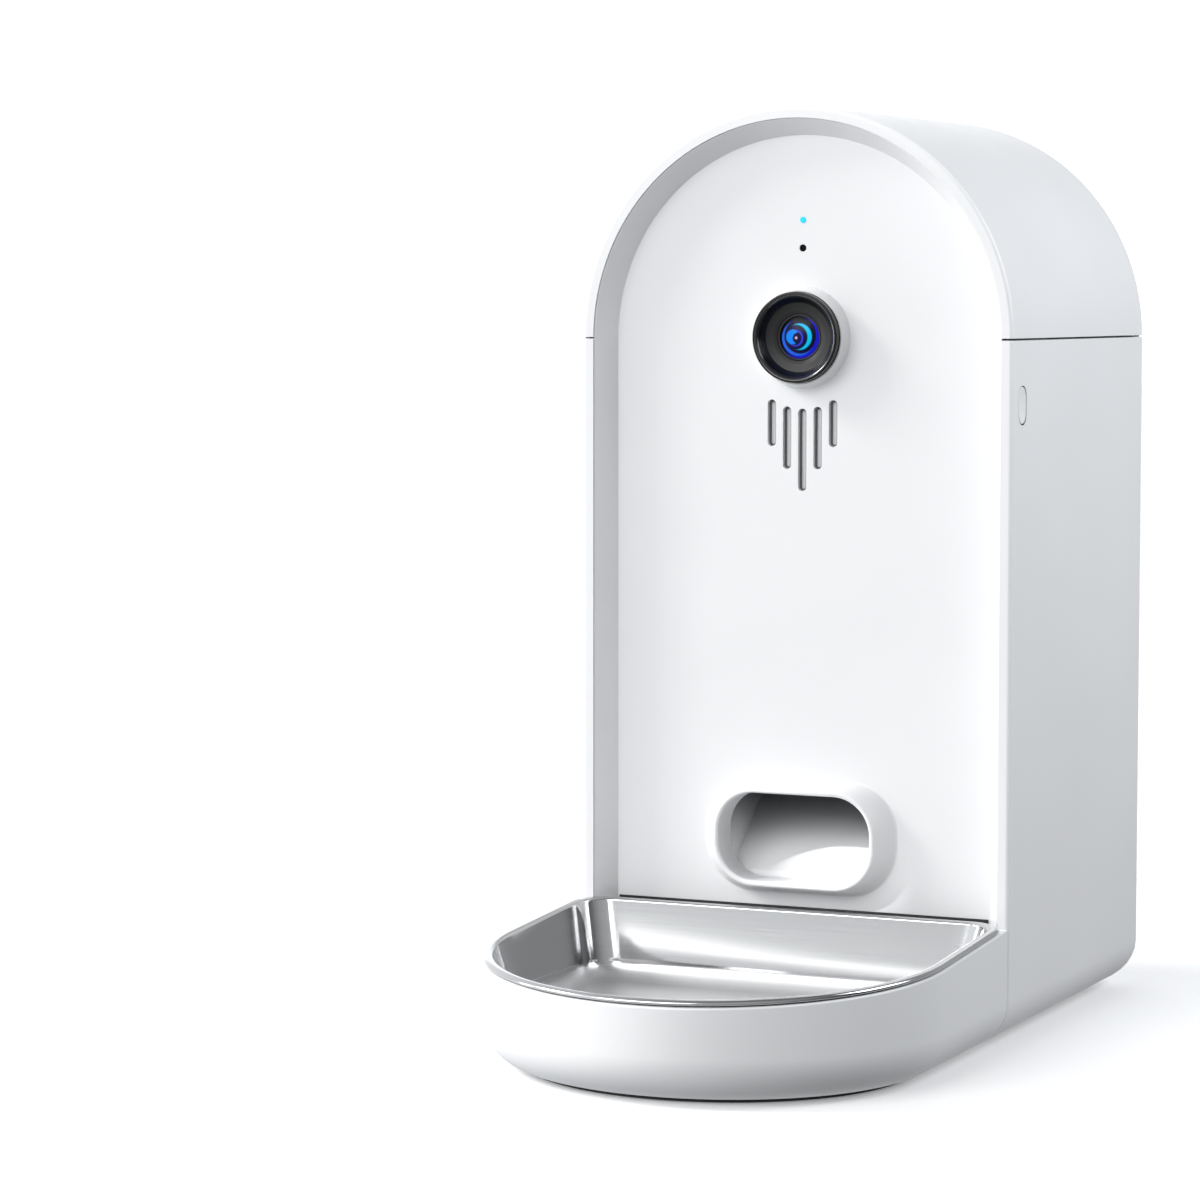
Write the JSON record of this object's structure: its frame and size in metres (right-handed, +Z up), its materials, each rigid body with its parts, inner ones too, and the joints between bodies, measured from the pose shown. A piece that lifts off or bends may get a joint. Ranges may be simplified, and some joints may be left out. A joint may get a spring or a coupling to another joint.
{
  "type": "automatic pet feeder with camera",
  "caption": "Arch-topped pet food dispenser with a lid, a camera in a recessed front panel, a rotor that doses dry food, and a steel bowl in a pull-off tray.",
  "frame": {"origin": "on the floor, at the middle of the feeder's width and depth", "axes": "+Z up, +Y to the back, the bowl and the camera face -Y"},
  "size_m": [0.19, 0.3454, 0.383],
  "materials": {
    "white_shell": "satin white",
    "inner_white": "matte white",
    "grey_plastic": "matte light grey",
    "hopper_plastic": "smooth light grey",
    "rotor_plastic": "soft orange",
    "gear_plastic": "natural acetal",
    "black_plastic": "satin black",
    "seal_rubber": "silicone",
    "foot_rubber": "matte black",
    "steel": "bright zinc",
    "bowl_steel": "brushed stainless",
    "bush_brass": "sintered bronze",
    "motor_metal": "plated can",
    "lens_glass": "coated blue",
    "light_pipe": "cyan",
    "circuit_board": "green laminate",
    "speaker_paper": "paper"
  },
  "bodies": {
    "base": {"main_shell": "white_shell", "base_plate": "grey_plastic", "hinge_pin": "steel", "front_panel": "white_shell", "bay_cover": "inner_white", "hopper": "hopper_plastic", "dosing_cup": "hopper_plastic", "drop_shield": "grey_plastic", "rotor_bush": "bush_brass", "food_chute": "inner_white", "outlet_collar": "white_shell", "body_feet": "foot_rubber", "gearbox_case": "black_plastic", "idler_axle": "steel", "motor": "motor_metal", "camera_bezel": "black_plastic", "lens_barrel": "black_plastic", "lens_glass": "lens_glass", "camera_board": "circuit_board", "status_light": "light_pipe", "microphone": "black_plastic", "indicator_board": "circuit_board", "dust_screen": "grey_plastic", "speaker_frame": "black_plastic", "speaker_cone": "speaker_paper", "main_board": "circuit_board", "power_inlet": "black_plastic", "left_button_spring": "steel", "right_button_spring": "steel", "base_screws": "steel", "cup_screws": "steel", "panel_screws": "steel", "cover_screws": "steel", "gearbox_screws": "steel", "board_screws": "steel"},
    "lid": {"lid_shell": "white_shell", "lid_liner": "inner_white", "lid_seal": "seal_rubber", "desiccant_box": "inner_white", "desiccant_cover": "grey_plastic"},
    "rotor_group": {"rotor": "rotor_plastic", "stirrer": "rotor_plastic", "drive_shaft": "steel", "output_gear": "gear_plastic"},
    "idler": {"idler_gear": "gear_plastic"},
    "pinion": {"motor_pinion": "gear_plastic", "motor_shaft": "steel"},
    "left_release": {"left_button": "white_shell"},
    "right_release": {"right_button": "white_shell"},
    "tray": {"bowl_tray": "white_shell", "tray_feet": "foot_rubber"},
    "bowl": {"food_bowl": "bowl_steel"}
  },
  "joints": [
    {"name": "lid_hinge", "type": "hinge", "parent": "base", "child": "lid", "pos_m": [0, 0.16925, 0.288], "axis": [-1, 0, 0], "range_deg": [0, 100]},
    {"name": "left_press", "type": "slide", "parent": "base", "child": "left_release", "axis": [1, 0, 0], "range_m": [0, 0.0025], "stiffness_N_per_m": 600, "springref_m": -0.001, "deforming": ["left_button_spring"]},
    {"name": "right_press", "type": "slide", "parent": "base", "child": "right_release", "axis": [-1, 0, 0], "range_m": [0, 0.0025], "stiffness_N_per_m": 600, "springref_m": -0.001, "deforming": ["right_button_spring"]},
    {"name": "tray_pull", "type": "slide", "parent": "base", "child": "tray", "axis": [0, -1, 0], "range_m": [0, 0.06]},
    {"name": "bowl_lift", "type": "slide", "parent": "tray", "child": "bowl", "axis": [0, 0, 1], "range_m": [0, 0.06]},
    {"name": "rotor_spin", "type": "hinge", "parent": "base", "child": "rotor_group", "pos_m": [0, 0.10725, 0.131], "axis": [0, 0, 1], "continuous": true},
    {"name": "idler_spin", "type": "hinge", "parent": "base", "child": "idler", "pos_m": [0, 0.13125, 0.118], "axis": [0, 0, 1], "continuous": true},
    {"name": "pinion_spin", "type": "hinge", "parent": "base", "child": "pinion", "pos_m": [-0.024, 0.13125, 0.113], "axis": [0, 0, 1], "continuous": true}
  ],
  "couplings": [
    {"joint": "idler_spin", "follows": "rotor_spin", "ratio": -3},
    {"joint": "pinion_spin", "follows": "rotor_spin", "ratio": 9}
  ]
}
